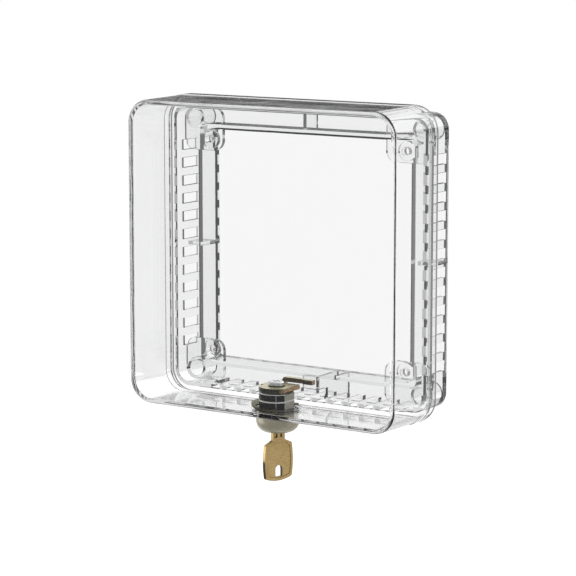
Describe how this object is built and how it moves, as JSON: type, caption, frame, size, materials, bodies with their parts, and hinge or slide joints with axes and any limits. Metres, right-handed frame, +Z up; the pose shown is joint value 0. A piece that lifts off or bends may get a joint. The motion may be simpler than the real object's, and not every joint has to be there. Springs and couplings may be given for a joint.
{
  "type": "thermostat lock box",
  "caption": "Clear wall box that covers a thermostat: a deep cover hooked over a vented ring base and locked from below by a keyed cam lock.",
  "frame": {"origin": "middle of the ring base's back face, on the wall", "axes": "+Z up, the cover's front faces -Y, +X to the right seen from the front"},
  "size_m": [0.17, 0.061, 0.2033],
  "materials": {
    "clear_cover": "clear moulded plastic, polished",
    "clear_base": "clear moulded plastic, polished",
    "dark_chrome": "bright plated die casting, darkly reflecting",
    "satin_nickel": "satin nickel",
    "yellow_zinc": "yellow passivated zinc on stamped steel",
    "bright_zinc": "bright zinc plating",
    "bright_chrome": "bright chrome plating",
    "key_brass": "coined brass, slightly dull",
    "wafer_brass": "stamped brass",
    "spring_steel": "drawn spring wire"
  },
  "bodies": {
    "base": {"base_ring": "clear_base"},
    "cover": {"cover": "clear_cover", "lock_housing": "dark_chrome", "bezel_cap": "satin_nickel", "retaining_clip": "yellow_zinc"},
    "plug": {"lock_plug": "satin_nickel", "stop_washer": "bright_zinc", "cam": "yellow_zinc", "lock_washer": "bright_zinc", "cam_screw": "bright_chrome", "wafer_spring_1": "spring_steel", "wafer_spring_2": "spring_steel", "wafer_spring_3": "spring_steel", "wafer_spring_4": "spring_steel", "wafer_spring_5": "spring_steel"},
    "key": {"key": "key_brass"},
    "wafer_1": {"wafer_1": "wafer_brass"},
    "wafer_2": {"wafer_2": "wafer_brass"},
    "wafer_3": {"wafer_3": "wafer_brass"},
    "wafer_4": {"wafer_4": "wafer_brass"},
    "wafer_5": {"wafer_5": "wafer_brass"}
  },
  "joints": [
    {"name": "cover_tilt", "type": "hinge", "parent": "base", "child": "cover", "pos_m": [0, -0.0206, 0.07942], "axis": [-1, 0, 0], "range_deg": [0, 40]},
    {"name": "lock_turn", "type": "hinge", "parent": "cover", "child": "plug", "pos_m": [0, -0.0408, -0.0825], "axis": [0, 0, 1], "range_deg": [0, 90]},
    {"name": "key_pull", "type": "slide", "parent": "plug", "child": "key", "axis": [0, 0, -1], "range_m": [0, 0.02]},
    {"name": "wafer_1_slide", "type": "slide", "parent": "plug", "child": "wafer_1", "axis": [-0.2924, -0.9563, 0], "range_m": [0, 0.00071], "deforming": ["wafer_spring_1"]},
    {"name": "wafer_2_slide", "type": "slide", "parent": "plug", "child": "wafer_2", "axis": [-0.2924, -0.9563, 0], "range_m": [0, 0.00071], "deforming": ["wafer_spring_2"]},
    {"name": "wafer_3_slide", "type": "slide", "parent": "plug", "child": "wafer_3", "axis": [-0.2924, -0.9563, 0], "range_m": [0, 0.00071], "deforming": ["wafer_spring_3"]},
    {"name": "wafer_4_slide", "type": "slide", "parent": "plug", "child": "wafer_4", "axis": [-0.2924, -0.9563, 0], "range_m": [0, 0.00071], "deforming": ["wafer_spring_4"]},
    {"name": "wafer_5_slide", "type": "slide", "parent": "plug", "child": "wafer_5", "axis": [-0.2924, -0.9563, 0], "range_m": [0, 0.00071], "deforming": ["wafer_spring_5"]}
  ],
  "couplings": [
    {"joint": "wafer_1_slide", "follows": "key_pull", "ratio": 0.035},
    {"joint": "wafer_2_slide", "follows": "key_pull", "ratio": 0.035},
    {"joint": "wafer_3_slide", "follows": "key_pull", "ratio": 0.035},
    {"joint": "wafer_4_slide", "follows": "key_pull", "ratio": 0.035},
    {"joint": "wafer_5_slide", "follows": "key_pull", "ratio": 0.035}
  ]
}
